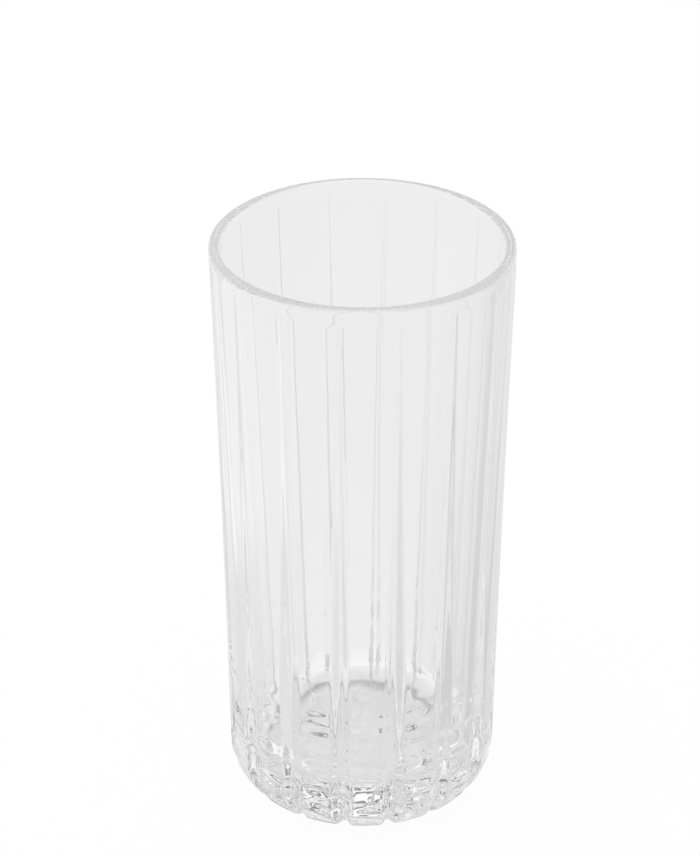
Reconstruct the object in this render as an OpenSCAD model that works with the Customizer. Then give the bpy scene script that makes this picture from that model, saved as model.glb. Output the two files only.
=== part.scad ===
// Fluted highball glass: one piece of clear pressed glass with a thick base.
// Millimetres, +Z up, origin on the table under the middle of the base.

/* [Glass] */
// Height from the table to the top of the lip
glass_h = 153; // [120:1:180]
// Outside diameter at the lip
lip_d = 74; // [68:1:84]
// Outside diameter that the tapered wall would have at the table
foot_d = 67; // [62:1:68]

/* [Lip] */
// Thickness of the wall at the rounded lip
lip_wall = 2.8; // [2.2:0.1:3.4]
// Height of the plain band between the top of the lip and the flutes
lip_band = 3.2; // [2.5:0.1:6]

/* [Heel and base] */
// Radius of the rounded heel between the wall and the base
heel_r = 12.7; // [10:0.1:14]
// Width of the flat ring that the glass stands on
ring_w = 5; // [3:0.5:8]
// Depth of the shallow hollow under the base
hollow_depth = 0.8; // [0.4:0.1:1.2]

/* [Inside] */
// Thickness of the solid base under the inside floor
floor_t = 15.5; // [12:0.5:20]
// Thickness of the wall beside the inside floor
floor_wall = 6.5; // [5.5:0.1:8]
// Radius of the rounded corner between the inside wall and the floor
floor_r = 3.5; // [3:0.5:9]

/* [Flutes] */
// Number of flutes round the glass
flute_count = 16; // [12:1:18]
// Turn of the first flute from the front of the glass, in degrees
flute_turn = 8.7; // [0:0.1:22.5]
// Radius of a flute's round channel just under the lip
flute_top_r = 0.6; // [0.5:0.05:0.8]
// Depth of a flute just under the lip
flute_top_depth = 0.3; // [0.25:0.05:0.4]
// Radius of a flute's round channel at the heel
flute_foot_r = 4; // [3.5:0.1:4.3]
// Extra depth that a flute has where the wall meets the heel
flute_heel_depth = 1.3; // [0.9:0.1:1.6]
// Depth at which a flute ends at the edge of the base
flute_base_depth = 0.5; // [0.4:0.05:0.7]
// How much larger than a flute's channel the balls at its end and its bend are
flute_ball_rise = 0.05; // [0.04:0.01:0.1]

/* [Hidden] */
// Chords in a quarter of a rounded edge, and sides of a round channel
arc_steps = 12;
round_sides = 64;
revolve_sides = 192;

// Outside wall: radius at a height, and how far the wall leans from upright
foot_r = foot_d / 2;
lean = atan((lip_d / 2 - foot_r) / glass_h);
function wall_r(z) = foot_r + z * tan(lean);

// Rounded lip: its centre, tangent to the outside wall
lip_r = lip_wall / 2;
lip_z = glass_h - lip_r;
lip_mid = wall_r(lip_z) - lip_r / cos(lean);

// Inside wall: its lean, and the centre of the rounded corner above the floor
bore_r = wall_r(floor_t) - floor_wall;
bore_lean = atan((lip_mid - lip_r - bore_r) / (lip_z - floor_t));
corner_z = floor_t + floor_r;
corner_mid = bore_r + floor_r * tan(bore_lean) - floor_r / cos(bore_lean);

// Heel: its centre, tangent to the outside wall and to the base, and the
// radius of the hollow inside the flat ring
heel_mid = wall_r(heel_r) - heel_r / cos(lean);
hollow_r = heel_mid - ring_w;

// Points along an arc round (r, z) from angle a to angle b
function arc(r, z, size, a, b, steps) =
    [for (i = [0:steps]) [r + size * cos(a + (b - a) * i / steps), z + size * sin(a + (b - a) * i / steps)]];

// A flute's channel: the wall stretch runs from a point below the lip band to
// a bend round the heel, whose centre is set inwards by the extra depth
top_out = flute_top_r - flute_top_depth;
end_r = flute_top_r + flute_ball_rise;
top_z = glass_h - lip_band - sqrt(end_r * end_r - top_out * top_out);
top_mid = wall_r(top_z) + top_out / cos(lean);
bend_r = heel_r + flute_foot_r - flute_base_depth;
bend_mid = heel_mid - flute_heel_depth;
reach = norm([top_mid - bend_mid, top_z - heel_r]);
run = sqrt(reach * reach - bend_r * bend_r);
bend_start = atan2(top_z - heel_r, top_mid - bend_mid) - acos(bend_r / reach);

// Half section of the glass: base, heel, outside wall, lip, inside wall, floor
module half_section() {
    polygon(concat(
        [[0, hollow_depth], [hollow_r - hollow_depth, hollow_depth], [hollow_r, 0]],
        arc(heel_mid, heel_r, heel_r, -90, -lean, arc_steps),
        arc(lip_mid, lip_z, lip_r, -lean, 180 - bore_lean, 2 * arc_steps),
        arc(corner_mid, corner_z, floor_r, -bore_lean, -90, arc_steps),
        [[0, floor_t]]
    ));
}

// One copy of its children for each flute, from the side of the half section
module each_flute() {
    for (i = [0:flute_count - 1])
        rotate([0, 0, -90 - flute_turn + 360 * i / flute_count])
            children();
}

// Round end of a flute under the lip band
module flute_end() {
    translate([top_mid, 0, top_z])
        sphere(r = end_r, $fn = round_sides);
}

// Ball that rounds the joint between a flute's stretch and its bend
module flute_joint() {
    translate([bend_mid + bend_r * cos(bend_start), 0, heel_r + bend_r * sin(bend_start)])
        sphere(r = flute_foot_r + flute_ball_rise, $fn = round_sides);
}

// Stretch of a flute down the wall, deeper and so wider towards the heel
module flute_stretch() {
    translate([bend_mid + bend_r * cos(bend_start), 0, heel_r + bend_r * sin(bend_start)])
        rotate([0, -bend_start, 0])
            cylinder(r1 = flute_foot_r, r2 = flute_top_r, h = run, $fn = round_sides);
}

// Bend of a flute round the heel, down to the edge of the base
module flute_bend() {
    translate([bend_mid, 0, heel_r])
        rotate([90, 0, 0])
            rotate_extrude(angle = 90 + bend_start, start = -90, $fn = revolve_sides)
                translate([bend_r, 0])
                    circle(r = flute_foot_r, $fn = round_sides);
}

module tumbler() {
    color([0.86, 0.9, 0.92, 0.45])
        difference() {
            difference() {
                difference() {
                    rotate_extrude($fn = revolve_sides) half_section();
                    each_flute() flute_joint();
                    each_flute() flute_end();
                }
                each_flute() flute_stretch();
            }
            each_flute() flute_bend();
        }
}

tumbler();
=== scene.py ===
import math

import bpy
import numpy as np
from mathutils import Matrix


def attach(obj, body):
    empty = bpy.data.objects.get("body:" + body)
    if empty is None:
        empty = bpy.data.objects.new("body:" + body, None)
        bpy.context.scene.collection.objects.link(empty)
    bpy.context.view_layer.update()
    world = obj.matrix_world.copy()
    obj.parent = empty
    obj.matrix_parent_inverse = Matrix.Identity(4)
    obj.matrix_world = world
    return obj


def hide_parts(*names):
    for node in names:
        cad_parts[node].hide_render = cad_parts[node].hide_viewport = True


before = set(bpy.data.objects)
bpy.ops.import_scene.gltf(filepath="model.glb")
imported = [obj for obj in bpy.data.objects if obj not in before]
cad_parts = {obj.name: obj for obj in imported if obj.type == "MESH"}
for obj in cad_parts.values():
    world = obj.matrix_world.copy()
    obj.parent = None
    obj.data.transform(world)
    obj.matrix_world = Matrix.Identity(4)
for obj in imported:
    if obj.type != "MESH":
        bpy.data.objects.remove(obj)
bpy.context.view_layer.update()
scene = bpy.context.scene
scene.view_settings.view_transform = "Standard"

# Camera

# A long lens looks down on the glass from table distance, thirty degrees above
# the horizon, with the glass a little below the middle of the picture.
camera_distance = 0.851
camera_rise = math.radians(30.39)
camera_tilt = math.radians(61.10)
camera_swing = math.radians(0.233)
camera_aim_height = 0.0765
camera_data = bpy.data.cameras.new("camera")
camera_data.sensor_fit = "AUTO"
camera_data.sensor_width = 36.0
camera_data.lens = 143.0
camera_data.clip_start = 0.01
camera_data.clip_end = 50.0
camera = bpy.data.objects.new("camera", camera_data)
camera.location = (
    0.0,
    -camera_distance * math.cos(camera_rise),
    camera_aim_height + camera_distance * math.sin(camera_rise),
)
camera.rotation_euler = (camera_tilt, 0.0, camera_swing)
scene.collection.objects.link(camera)
scene.camera = camera

# Table

# A plain pale table top, white to the camera. The glass shows it in greys, by
# distance from its middle in metres, with light and shade painted on: a painted
# shadow under the base, a painted contact shadow as a dark line where the foot's
# edge meets the table, then the open top, with painted shade deepest on the right.
table_half = 4.0
table_drop = 0.00004
table_grey = 0.10
table_glow_to_camera = 0.935

# Steps of distance and brightness
# Painted shadow under the foot, with a painted contact shadow, the dark step at 0.0278,
# where the foot's edge meets the table
painted_shadow_under_foot = [
    (0.0, 0.71),
    (0.015, 0.70),
    (0.022, 0.68),
    (0.0262, 0.71),
    (0.0278, 0.38),
    (0.0294, 0.72),
    (0.034, 0.80),
    (0.042, 0.90),
]
# Painted light and shade past the foot, side by side, with the deepest painted shade on
# the right
near_back = [(0.06, 0.83), (0.30, 0.80), (0.58, 0.78)]
near_front = [(0.05, 0.80), (0.11, 0.75), (0.14, 0.67), (0.28, 0.66)]
near_left = [(0.05, 0.70), (0.11, 0.69), (0.14, 0.87), (0.28, 0.87)]
near_right = [(0.05, 0.59), (0.11, 0.56), (0.28, 0.56)]
far_back = [(0.80, 1.05), (1.0, 1.10)]
far_round = [(0.45, 0.72), (0.60, 0.78), (0.80, 0.95), (1.0, 1.05)]
table_glow = {
    "back": painted_shadow_under_foot + near_back + far_back,
    "front": painted_shadow_under_foot + near_front + far_round,
    "left": painted_shadow_under_foot + near_left + far_round,
    "right": painted_shadow_under_foot + near_right + far_round,
}
side_headings = {
    "back": (0, 1, 0),
    "front": (0, -1, 0),
    "left": (-1, 0, 0),
    "right": (1, 0, 0),
}
brightest = 2.0


def add_node(tree, kind, inputs=None, **settings):
    """A new node, its properties set, its inputs values or other nodes' sockets."""
    made = tree.nodes.new(kind)
    for name, value in settings.items():
        setattr(made, name, value)
    for name, value in (inputs or {}).items():
        if isinstance(value, bpy.types.NodeSocket):
            tree.links.new(value, made.inputs[name])
        else:
            made.inputs[name].default_value = value
    return made


def add_math(tree, operation, *inputs):
    """The result of a Math node, each input a socket or a number."""
    inputs = dict(enumerate(inputs))
    return add_node(tree, "ShaderNodeMath", inputs, operation=operation).outputs[0]


def light_by_side(tree, place, amount, sides):
    """Brightness that changes with an amount, on a curve for each side.

    Each side counts by the square of its heading's cosine, and the squares of
    the four sides add up to one all the way round.
    """
    axes = add_node(tree, "ShaderNodeSeparateXYZ", {0: place})
    level = add_node(
        tree, "ShaderNodeCombineXYZ", {"X": axes.outputs["X"], "Y": axes.outputs["Y"]}
    )
    heading = add_node(
        tree, "ShaderNodeVectorMath", {0: level.outputs[0]}, operation="NORMALIZE"
    )
    total = 0.0
    for side, steps in sides.items():
        facing = add_node(
            tree,
            "ShaderNodeVectorMath",
            {0: heading.outputs[0], 1: side_headings[side]},
            operation="DOT_PRODUCT",
        )
        turned_to = add_math(tree, "MAXIMUM", facing.outputs["Value"], 0.0)
        share = add_math(tree, "POWER", turned_to, 2.0)
        ramp = add_node(tree, "ShaderNodeFloatCurve", {"Value": amount})
        ramp.mapping.extend = "HORIZONTAL"
        curve = ramp.mapping.curves[0]
        while len(curve.points) < len(steps):
            curve.points.new(0.5, 0.5)
        for point, (where, bright) in zip(curve.points, steps):
            point.location = (where, bright / brightest)
            point.handle_type = "AUTO_CLAMPED"
        ramp.mapping.update()
        total = add_math(tree, "MULTIPLY_ADD", ramp.outputs[0], share, total)
    return add_math(tree, "MULTIPLY", total, brightest)


table_mesh = bpy.data.meshes.new("table")
table_mesh.from_pydata(
    [
        (side_x * table_half, side_y * table_half, -table_drop)
        for side_x, side_y in ((-1, -1), (1, -1), (1, 1), (-1, 1))
    ],
    [],
    [(0, 1, 2, 3)],
)
table = bpy.data.objects.new("table", table_mesh)
scene.collection.objects.link(table)

table_paint = bpy.data.materials.new("pale_table")
table_paint.use_nodes = True
tree = table_paint.node_tree
tree.nodes.clear()
spot = add_node(tree, "ShaderNodeTexCoord").outputs["Object"]
distance = add_node(tree, "ShaderNodeVectorMath", {0: spot}, operation="LENGTH")

# The curves run over the distance's square root, which gives the close steps
# by the foot more room than the wide ones far off
root = add_math(tree, "SQRT", distance.outputs["Value"])
root_painted_light_and_shade = {
    side: [(math.sqrt(away), bright) for away, bright in steps]
    for side, steps in table_glow.items()
}
rays = add_node(tree, "ShaderNodeLightPath").outputs
in_glass = add_math(tree, "MAXIMUM", rays["Is Glossy Ray"], rays["Is Transmission Ray"])
# Rays in the glass see the table's painted light and shade; the camera sees it evenly
# white
painted_light_in_glass = add_math(
    tree, "MULTIPLY", in_glass, light_by_side(tree, spot, root, root_painted_light_and_shade)
)
glow = add_math(
    tree, "MULTIPLY_ADD", rays["Is Camera Ray"], table_glow_to_camera, painted_light_in_glass
)
table_light = add_node(tree, "ShaderNodeEmission", {"Strength": glow})
table_face = add_node(
    tree, "ShaderNodeBsdfDiffuse", {"Color": (table_grey, table_grey, table_grey, 1.0)}
)
both = add_node(
    tree, "ShaderNodeAddShader", {0: table_face.outputs[0], 1: table_light.outputs[0]}
)
add_node(tree, "ShaderNodeOutputMaterial", {"Surface": both.outputs[0]})
table_mesh.materials.append(table_paint)

# Studio

# A soft studio, white to the camera. The glass shows it by height, as the sine
# of the angle above the table: a pale backdrop, level panels of light with
# dark gaps between them on every side, and one broad panel overhead.
low_back = [(0.0, 0.84), (0.12, 0.75), (0.22, 0.40), (0.41, 0.25)]
low_front = [(0.0, 0.81), (0.12, 0.68), (0.30, 0.54), (0.42, 0.35)]
low_left = [(0.0, 0.81), (0.12, 0.70), (0.30, 0.62), (0.42, 0.40)]
low_right = [(0.0, 0.67), (0.12, 0.50), (0.30, 0.35), (0.42, 0.20)]

# Foot and top of each panel or gap, and its brightness at the two
panels = {
    "back": [
        (0.42, 0.50, 1.05, 1.05),
        (0.51, 0.60, 0.28, 0.28),
        (0.61, 0.71, 0.95, 0.90),
        (0.72, 0.84, 0.20, 0.20),
        (0.85, 0.89, 0.80, 0.80),
        (0.90, 0.95, 0.25, 0.25),
        (0.96, 1.00, 1.20, 1.25),
    ],
    "front": [
        (0.43, 0.53, 0.75, 0.75),
        (0.54, 0.63, 0.25, 0.25),
        (0.64, 0.74, 0.70, 0.70),
        (0.75, 0.84, 0.35, 0.35),
        (0.85, 0.90, 0.90, 0.90),
        (0.91, 1.00, 1.25, 1.25),
    ],
    "left": [
        (0.43, 0.54, 0.85, 0.85),
        (0.55, 0.68, 1.10, 1.10),
        (0.69, 0.78, 0.35, 0.35),
        (0.79, 0.86, 0.90, 0.90),
        (0.87, 0.90, 0.40, 0.40),
        (0.91, 1.00, 1.25, 1.25),
    ],
    "right": [
        (0.43, 0.54, 0.60, 0.60),
        (0.55, 0.74, 0.05, 0.05),
        (0.75, 0.82, 0.80, 0.80),
        (0.83, 0.89, 0.25, 0.25),
        (0.90, 1.00, 1.25, 1.25),
    ],
}
studio_glow = {
    "back": low_back,
    "front": low_front,
    "left": low_left,
    "right": low_right,
}
for side, strips in panels.items():
    for foot, top, foot_glow, top_glow in strips:
        studio_glow[side] += [(foot, foot_glow), (top, top_glow)]

tent = bpy.data.worlds.new("tent")
scene.world = tent
tent.use_nodes = True
tree = tent.node_tree
tree.nodes.clear()
direction = add_node(tree, "ShaderNodeTexCoord").outputs["Generated"]
upward = add_node(tree, "ShaderNodeSeparateXYZ", {0: direction}).outputs["Z"]
seen = add_node(tree, "ShaderNodeLightPath")
white_to_camera = add_node(
    tree,
    "ShaderNodeMix",
    {
        "Factor": seen.outputs["Is Camera Ray"],
        "A": light_by_side(tree, direction, upward, studio_glow),
        "B": 1.0,
    },
    data_type="FLOAT",
)
tent_light = add_node(
    tree,
    "ShaderNodeBackground",
    {"Color": (1.0, 1.0, 1.0, 1.0), "Strength": white_to_camera.outputs[0]},
)
add_node(tree, "ShaderNodeOutputWorld", {"Surface": tent_light.outputs[0]})

# Glass blank

# The real glass is pressed in one piece from a gob of clear glass. Its plain
# turned shape comes first: base, rounded heel, tapered wall, lip and inside.
glass_height = 0.153
lip_across = 0.0740
foot_across = 0.0670
lip_wall = 0.0028
lip_band = 0.0032
heel_round = 0.0127
floor_thick = 0.0155
floor_wall = 0.0065
floor_round = 0.0035
hollow_deep = 0.0008
hollow_steepness = 1.6
ring_wide = 0.0050
wall_bow = 0.00026
flutes = 16
first_flute = math.radians(8.7)

# How many rows and columns of points each stretch of the glass has
hollow_rows = 22
ring_rows = 8
heel_rows = 34
wall_rows = 33
flute_end_rows = 17
flute_end_zone = 0.007
half_lip_rows = 9
inside_rows = 40
corner_rows = 12
floor_rows = 8
hollow_middle_share = 0.04
floor_middle_share = 0.06
columns_per_flute = 32
column_even_share = 0.2
column_crowding = 2.2

foot_radius = foot_across / 2
lean = math.atan((lip_across / 2 - foot_radius) / glass_height)


def outside_radius(z):
    """Radius of the tapered outside wall at a height."""
    return foot_radius + z * math.tan(lean)


lip_round = lip_wall / 2
lip_z = glass_height - lip_round
lip_r = outside_radius(lip_z) - lip_round / math.cos(lean)
bore_radius = outside_radius(floor_thick) - floor_wall
bore_lean = math.atan((lip_r - lip_round - bore_radius) / (lip_z - floor_thick))
corner_z = floor_thick + floor_round
corner_r = (
    bore_radius + floor_round * math.tan(bore_lean) - floor_round / math.cos(bore_lean)
)
heel_r = outside_radius(heel_round) - heel_round / math.cos(lean)
hollow_r = heel_r - ring_wide
wall_top = lip_z - lip_round * math.sin(lean)


def spread(start, end, steps):
    """Even steps from start to end, without the start."""
    return np.linspace(start, end, steps + 1)[1:]


def arc(r, z, size, start, end, steps):
    """Points after the first on an arc round (r, z), angles in radians."""
    turn = spread(start, end, steps)
    return [(r + size * math.cos(a), z + size * math.sin(a)) for a in turn]


half = [
    (
        share * hollow_r,
        hollow_deep * 0.5 * (1 + math.cos(math.pi * share**hollow_steepness)),
    )
    for share in np.linspace(hollow_middle_share, 1.0, hollow_rows)
]
half += [(r, 0.0) for r in spread(hollow_r, heel_r, ring_rows)]
half += arc(heel_r, heel_round, heel_round, -math.pi / 2, -lean, heel_rows)
wall_start = half[-1][1]
flute_end_start = wall_top - flute_end_zone
wall_z = np.concatenate(
    [
        spread(wall_start, flute_end_start, wall_rows),
        spread(flute_end_start, wall_top, flute_end_rows),
    ]
)
for z in wall_z:
    share = (z - wall_start) / (wall_top - wall_start)
    half.append((outside_radius(z) - wall_bow * 4 * share * (1 - share), z))
half += arc(lip_r, lip_z, lip_round, -lean, math.pi / 2, half_lip_rows)
outside_rows = len(half)
half += arc(lip_r, lip_z, lip_round, math.pi / 2, math.pi - bore_lean, half_lip_rows)
inside_top = half[-1]
inside_foot = (
    corner_r + floor_round * math.cos(bore_lean),
    corner_z - floor_round * math.sin(bore_lean),
)
half += [
    (
        inside_top[0] + (inside_foot[0] - inside_top[0]) * share,
        inside_top[1] + (inside_foot[1] - inside_top[1]) * share,
    )
    for share in spread(0.0, 1.0, inside_rows)
]
half += arc(corner_r, corner_z, floor_round, -bore_lean, -math.pi / 2, corner_rows)
floor_middle_r = corner_r * floor_middle_share
half += [(r, floor_thick) for r in spread(corner_r, floor_middle_r, floor_rows)]
half = np.array(half)
rows = len(half)

# Columns of points round the glass, crowded where the flutes are
pitch = 2 * math.pi / flutes
even = (np.arange(columns_per_flute) + 0.5) / columns_per_flute * 2 - 1
crowded = np.sign(even) * np.abs(even) ** column_crowding
in_pitch = (
    pitch / 2 * (column_even_share * even + (1 - column_even_share) * crowded)
)
around = (
    np.concatenate([in_pitch + k * pitch for k in range(flutes)])
    - math.pi / 2
    - first_flute
)
columns = len(around)

along = np.gradient(half, axis=0)
along /= np.linalg.norm(along, axis=1)[:, None]
out_r, out_z = along[:, 1], -along[:, 0]
radius, height = half[:, 0], half[:, 1]


def over_columns(per_row):
    """A value for each row, repeated for each point of the row."""
    return np.repeat(per_row, columns)


def over_points(per_row_r, per_row_z):
    """Points or directions round the glass from radial and upward parts."""
    return np.stack(
        [
            np.outer(per_row_r, np.cos(around)),
            np.outer(per_row_r, np.sin(around)),
            np.outer(per_row_z, np.ones(columns)),
        ],
        -1,
    ).reshape(-1, 3)


points = over_points(radius, height)
corners = np.arange(rows * columns).reshape(rows, columns)
next_column = np.roll(corners, -1, axis=1)
quads = np.stack(
    [corners[:-1], next_column[:-1], next_column[1:], corners[1:]], -1
).reshape(-1, 4)
under_middle, floor_middle = len(points), len(points) + 1
points = np.vstack([points, [[0, 0, height[0]], [0, 0, height[-1]]]])
faces = [tuple(int(i) for i in quad) for quad in quads]
for k in range(columns):
    j = (k + 1) % columns
    faces.append((under_middle, int(corners[0, j]), int(corners[0, k])))
    faces.append((floor_middle, int(corners[-1, k]), int(corners[-1, j])))
blank_mesh = bpy.data.meshes.new("highball")
blank_mesh.from_pydata(points.tolist(), [], faces)

# Glass press

# The mould's ribs press a rounded flute between every two panels, faint under
# the lip, wide and deep at the foot, and on under the base as a faint sunburst.
# The plunger leaves slow waves on the inside wall.
flute_half_wide_lip = 0.00045
flute_half_wide_heel = 0.0034
flute_half_wide_base = 0.0020
flute_widening = 1.2
flute_steepness = 0.60
flute_end_length = 0.0020
flute_deep_at_base = 0.00060
sunburst_inner_end = 0.003
sunburst_pitch_share = 0.95
sunburst_blend = 0.003
panel_flatness = 0.35
wave_height = 0.00010
waves_each_metre = 70.0
waves_below_lip = 0.004
waves_lip_fade = 0.015
waves_above_floor = 0.001
waves_floor_fade = 0.010
stipple_past_ring = 0.0005


def soft(x):
    """Smooth rise from 0 to 1 over the same range of x."""
    x = np.clip(x, 0.0, 1.0)
    return x * x * (3 - 2 * x)


outside = np.arange(rows) < outside_rows
on_heel = outside & (height < heel_round) & (radius > heel_r)
on_base = outside & (radius <= heel_r + 1e-6) & (height < heel_round / 2)
flute_top = glass_height - lip_band
down_wall = np.clip((flute_top - height) / (flute_top - heel_round), 0, 1)
end_fade = soft((flute_top - height) / flute_end_length)

# Half width of a flute at each row
wide_row = flute_half_wide_lip + (flute_half_wide_heel - flute_half_wide_lip) * (
    down_wall**flute_widening
)
deep_row = flute_steepness * wide_row * end_fade
wide_row = wide_row + (flute_half_wide_base - flute_half_wide_heel) * np.clip(
    1 - height / heel_round, 0, 1
)
under_wide = sunburst_pitch_share * math.pi / flutes * radius
under_share = soft((heel_r - radius) / sunburst_blend)
wide_row = np.where(
    on_base,
    flute_half_wide_base + (under_wide - flute_half_wide_base) * under_share,
    wide_row,
)

# Depth of a flute at each row
heel_deep = flute_steepness * flute_half_wide_heel
bend = np.where(on_heel, (heel_round - height) / heel_round, 0)
bend_cos = np.sqrt(np.clip(1 - bend**2, 0, 1))
deep_row = np.where(
    on_heel,
    flute_deep_at_base + (heel_deep - flute_deep_at_base) * bend_cos,
    deep_row,
)
sunburst_share = soft((radius - sunburst_inner_end) / (heel_r - sunburst_inner_end))
deep_row = np.where(on_base, flute_deep_at_base * sunburst_share, deep_row)
deep_row = np.where(outside, deep_row, 0)

# Where the panels are flattened, the inside has waves and the ring is stippled
flat_row = np.where(outside, end_fade * np.clip(height / heel_round, 0, 1), 0)
flat_row = np.where(on_base, 0, flat_row)
wave_row = np.where(
    outside,
    0,
    soft((glass_height - waves_below_lip - height) / waves_lip_fade)
    * soft((height - floor_thick - waves_above_floor) / waves_floor_fade),
)
ring_row = np.where(on_base & (radius > hollow_r - stipple_past_ring), 1.0, 0.0)
for name, per_row in (
    ("flute_deep", deep_row),
    ("flute_half_wide", wide_row),
    ("flat_share", flat_row),
    ("wave_share", wave_row),
    ("stippled", ring_row),
):
    layer = blank_mesh.attributes.new(name, "FLOAT", "POINT")
    ends = [per_row[0], per_row[-1]]
    layer.data.foreach_set("value", np.concatenate([over_columns(per_row), ends]))
layer = blank_mesh.attributes.new("press", "FLOAT_VECTOR", "POINT")
pressing = np.vstack([over_points(out_r, out_z), [[0, 0, -1], [0, 0, 1]]])
layer.data.foreach_set("vector", pressing.ravel())

clear_glass = bpy.data.materials.new("clear_pressed_glass")
press_inputs = (
    ("Blank", "NodeSocketGeometry", None),
    ("Flutes", "NodeSocketInt", flutes),
    ("First flute", "NodeSocketFloat", first_flute),
    ("Panel flatness", "NodeSocketFloat", panel_flatness),
    ("Wave height", "NodeSocketFloat", wave_height),
    ("Waves each metre", "NodeSocketFloat", waves_each_metre),
    ("Glass", "NodeSocketMaterial", clear_glass),
)
press = bpy.data.node_groups.new("press_flutes", "GeometryNodeTree")
sockets = {
    name: press.interface.new_socket(name, in_out="INPUT", socket_type=kind)
    for name, kind, value in press_inputs
}
press.interface.new_socket(
    "Pressed glass", in_out="OUTPUT", socket_type="NodeSocketGeometry"
)
given = add_node(press, "NodeGroupInput").outputs


def press_math(operation, *inputs):
    """The result of a Math node in the press tree."""
    return add_math(press, operation, *inputs)


def stored(name, data_type="FLOAT"):
    """A value that the blank's points carry."""
    made = add_node(
        press, "GeometryNodeInputNamedAttribute", {"Name": name}, data_type=data_type
    )
    return made.outputs["Attribute"]


place = add_node(press, "GeometryNodeInputPosition").outputs[0]
x, y, z = add_node(press, "ShaderNodeSeparateXYZ", {0: place}).outputs
reach = press_math(
    "SQRT",
    press_math("ADD", press_math("MULTIPLY", x, x), press_math("MULTIPLY", y, y)),
)

# Angle from the nearest flute's middle, as a share of half the pitch
half_pitch = press_math("DIVIDE", math.pi, given["Flutes"])
turned = press_math(
    "ADD",
    press_math("ARCTAN2", y, x),
    press_math("ADD", given["First flute"], math.pi / 2),
)
from_cut = press_math(
    "ABSOLUTE",
    press_math("WRAP", turned, half_pitch, press_math("MULTIPLY", half_pitch, -1.0)),
)
near_cut = press_math("SUBTRACT", 1.0, press_math("DIVIDE", from_cut, half_pitch))

# A flute is full depth in its middle and falls round to nothing at its edges
across = press_math(
    "DIVIDE", press_math("MULTIPLY", from_cut, reach), stored("flute_half_wide")
)
turn = press_math("MULTIPLY", press_math("MINIMUM", across, 1.0), math.pi)
rounded = press_math("MULTIPLY_ADD", press_math("COSINE", turn), 0.5, 0.5)
cut = press_math("MULTIPLY", rounded, stored("flute_deep"))

# A panel's edges stand out from the turned shape, which flattens the panel
chord = press_math("COSINE", press_math("MULTIPLY", near_cut, half_pitch))
flat = press_math(
    "MULTIPLY", reach, press_math("SUBTRACT", press_math("DIVIDE", 1.0, chord), 1.0)
)
flat = press_math(
    "MULTIPLY",
    flat,
    press_math("MULTIPLY", stored("flat_share"), given["Panel flatness"]),
)

waves = add_node(
    press,
    "ShaderNodeTexNoise",
    {
        "Vector": place,
        "Scale": given["Waves each metre"],
        "Detail": 1.0,
        "Roughness": 0.5,
    },
)
wave = press_math(
    "MULTIPLY",
    press_math("SUBTRACT", waves.outputs[0], 0.5),
    press_math("MULTIPLY", stored("wave_share"), given["Wave height"]),
)

move = press_math("SUBTRACT", press_math("ADD", flat, wave), cut)
offset = add_node(
    press,
    "ShaderNodeVectorMath",
    {0: stored("press", "FLOAT_VECTOR"), "Scale": move},
    operation="SCALE",
)
pressed = add_node(
    press,
    "GeometryNodeSetPosition",
    {"Geometry": given["Blank"], "Offset": offset.outputs[0]},
)
real = add_node(press, "GeometryNodeRealizeInstances", {0: pressed.outputs[0]})
coated = add_node(
    press,
    "GeometryNodeSetMaterial",
    {"Geometry": real.outputs[0], "Material": given["Glass"]},
)
add_node(press, "NodeGroupOutput", {0: coated.outputs[0]})

blank = bpy.data.objects.new("blank", blank_mesh)
scene.collection.objects.link(blank)
pressing_step = blank.modifiers.new("press", "NODES")
pressing_step.node_group = press
for name, kind, value in press_inputs[1:]:
    pressing_step[sockets[name].identifier] = value
depsgraph = bpy.context.evaluated_depsgraph_get()
highball_mesh = bpy.data.meshes.new_from_object(
    blank.evaluated_get(depsgraph), preserve_all_data_layers=True, depsgraph=depsgraph
)
bpy.data.objects.remove(blank)
highball_mesh.name = "highball_glass"
highball_mesh.shade_smooth()
highball = bpy.data.objects.new("highball_glass", highball_mesh)
scene.collection.objects.link(highball)

# Glass finish

# Clear soda-lime glass, fire-polished smooth. The cooler tools leave fine chill
# ripples low on the glass, and a faint stipple on the ring that it stands on.
glass_colour = (0.99, 0.995, 0.993, 1.0)
ripples_each_metre = (100.0, 100.0, 230.0)
ripple_top = 0.050
ripple_full = 0.015
ripple_deep = 0.0010
stipples_each_metre = 1400.0
stipple_deep = 0.00002
light_through = (0.9, 0.9, 0.9, 1.0)
glass_bounces = 48
clear_glass.use_nodes = True
tree = clear_glass.node_tree
tree.nodes.clear()
spot = add_node(tree, "ShaderNodeTexCoord").outputs["Object"]
height_here = add_node(tree, "ShaderNodeSeparateXYZ", {0: spot}).outputs["Z"]

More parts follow.
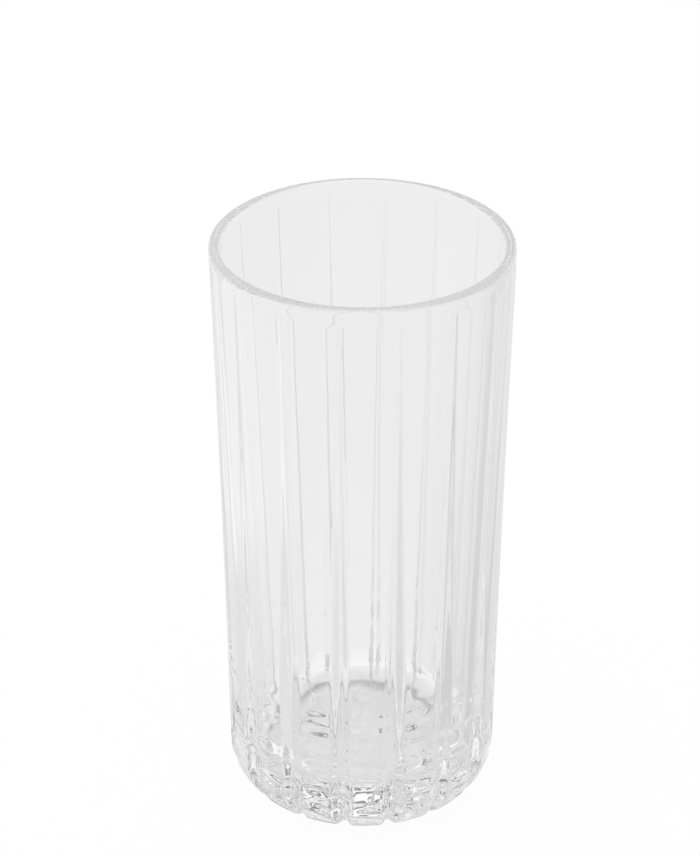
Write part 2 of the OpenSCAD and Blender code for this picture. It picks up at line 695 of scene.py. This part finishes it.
# The ripples are wide round the glass and narrow up it
stretch = add_node(
    tree, "ShaderNodeMapping", {"Vector": spot, "Scale": ripples_each_metre}
)
ripple = add_node(
    tree,
    "ShaderNodeTexNoise",
    {"Vector": stretch.outputs[0], "Scale": 1.0, "Detail": 0.0},
)
lower = add_node(
    tree,
    "ShaderNodeMapRange",
    {"Value": height_here, "From Min": ripple_top, "From Max": ripple_full},
    interpolation_type="SMOOTHSTEP",
)
ripple_height = add_math(tree, "MULTIPLY", ripple.outputs[0], lower.outputs[0])
ripple_bump = add_node(
    tree, "ShaderNodeBump", {"Height": ripple_height, "Distance": ripple_deep}
)

grain = add_node(
    tree,
    "ShaderNodeTexNoise",
    {"Vector": spot, "Scale": stipples_each_metre, "Detail": 0.0},
)
on_ring = add_node(tree, "ShaderNodeAttribute", attribute_name="stippled")
stipple_height = add_math(tree, "MULTIPLY", grain.outputs[0], on_ring.outputs["Fac"])
bump = add_node(
    tree,
    "ShaderNodeBump",
    {
        "Height": stipple_height,
        "Distance": stipple_deep,
        "Normal": ripple_bump.outputs[0],
    },
)
body = add_node(
    tree,
    "ShaderNodeBsdfPrincipled",
    {
        "Base Color": glass_colour,
        "Roughness": 0.0,
        "IOR": 1.5,
        "Transmission Weight": 1.0,
        "Normal": bump.outputs[0],
    },
)

# Light passes the glass to the table, a little dimmed
clear_to_lamps = add_node(tree, "ShaderNodeBsdfTransparent", {"Color": light_through})
shadow_rays = add_node(tree, "ShaderNodeLightPath")
mix = add_node(
    tree,
    "ShaderNodeMixShader",
    {
        0: shadow_rays.outputs["Is Shadow Ray"],
        1: body.outputs[0],
        2: clear_to_lamps.outputs[0],
    },
)
add_node(tree, "ShaderNodeOutputMaterial", {"Surface": mix.outputs[0]})

# Light goes through many faces of clear glass before it is lost
scene.cycles.max_bounces = glass_bounces
scene.cycles.transmission_bounces = glass_bounces
scene.cycles.glossy_bounces = glass_bounces
scene.cycles.denoising_input_passes = "RGB"

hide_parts("tumbler")
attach(highball, "root")
